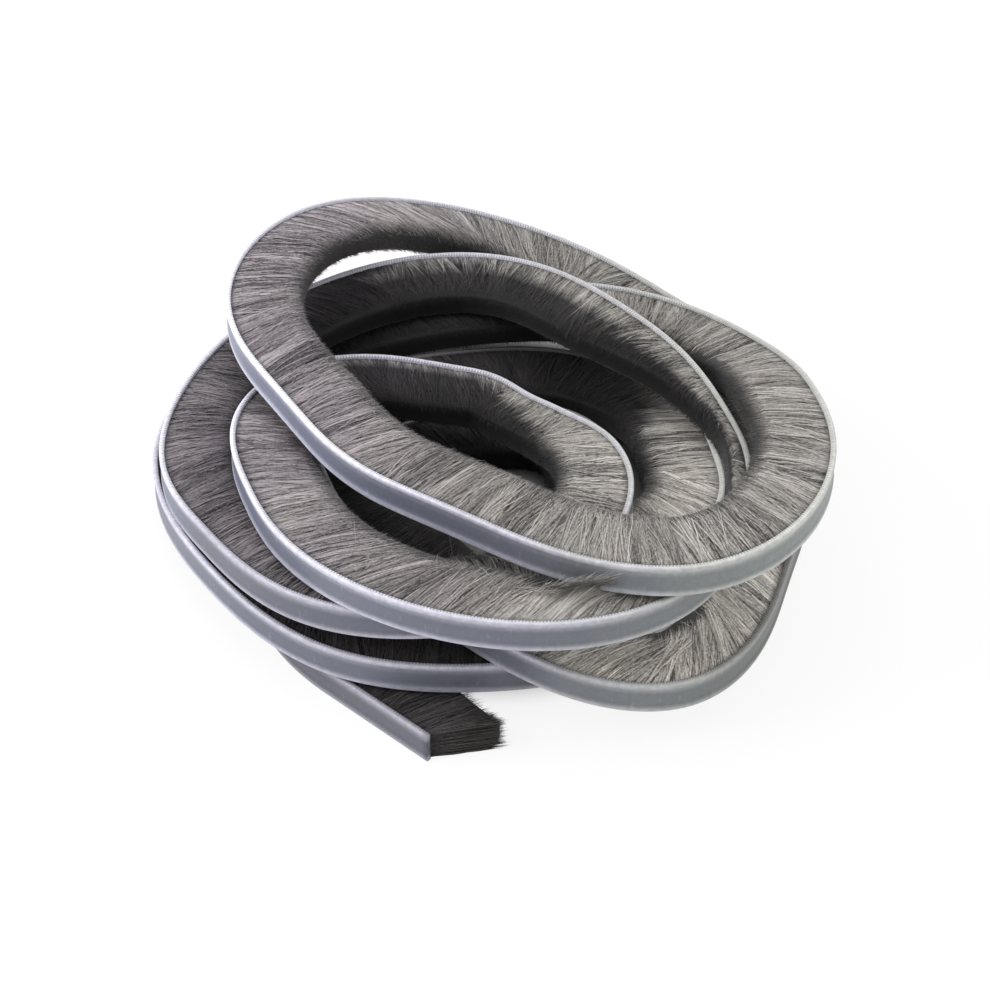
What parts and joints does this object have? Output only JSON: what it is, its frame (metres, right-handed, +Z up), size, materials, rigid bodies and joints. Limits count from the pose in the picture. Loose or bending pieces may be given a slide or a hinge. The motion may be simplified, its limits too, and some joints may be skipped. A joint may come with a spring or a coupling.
{
  "type": "brush seal strip",
  "caption": "Loose coil of self-adhesive brush seal strip, with dense grey pile pointing inwards from a pale plastic backing.",
  "frame": {"origin": "centre of the coil's footprint, on the floor it rests on", "axes": "+Z up, off the floor; +Y from the cut tail at the front towards the back of the coil, its longest side; +X to the right"},
  "size_m": [0.1848, 0.2182, 0.058],
  "materials": {
    "backing": "pale translucent plastic, satin",
    "pile": "dense grey polypropylene pile"
  },
  "bodies": {
    "root": {"backing_tape": "backing", "pile": "pile"}
  },
  "joints": []
}
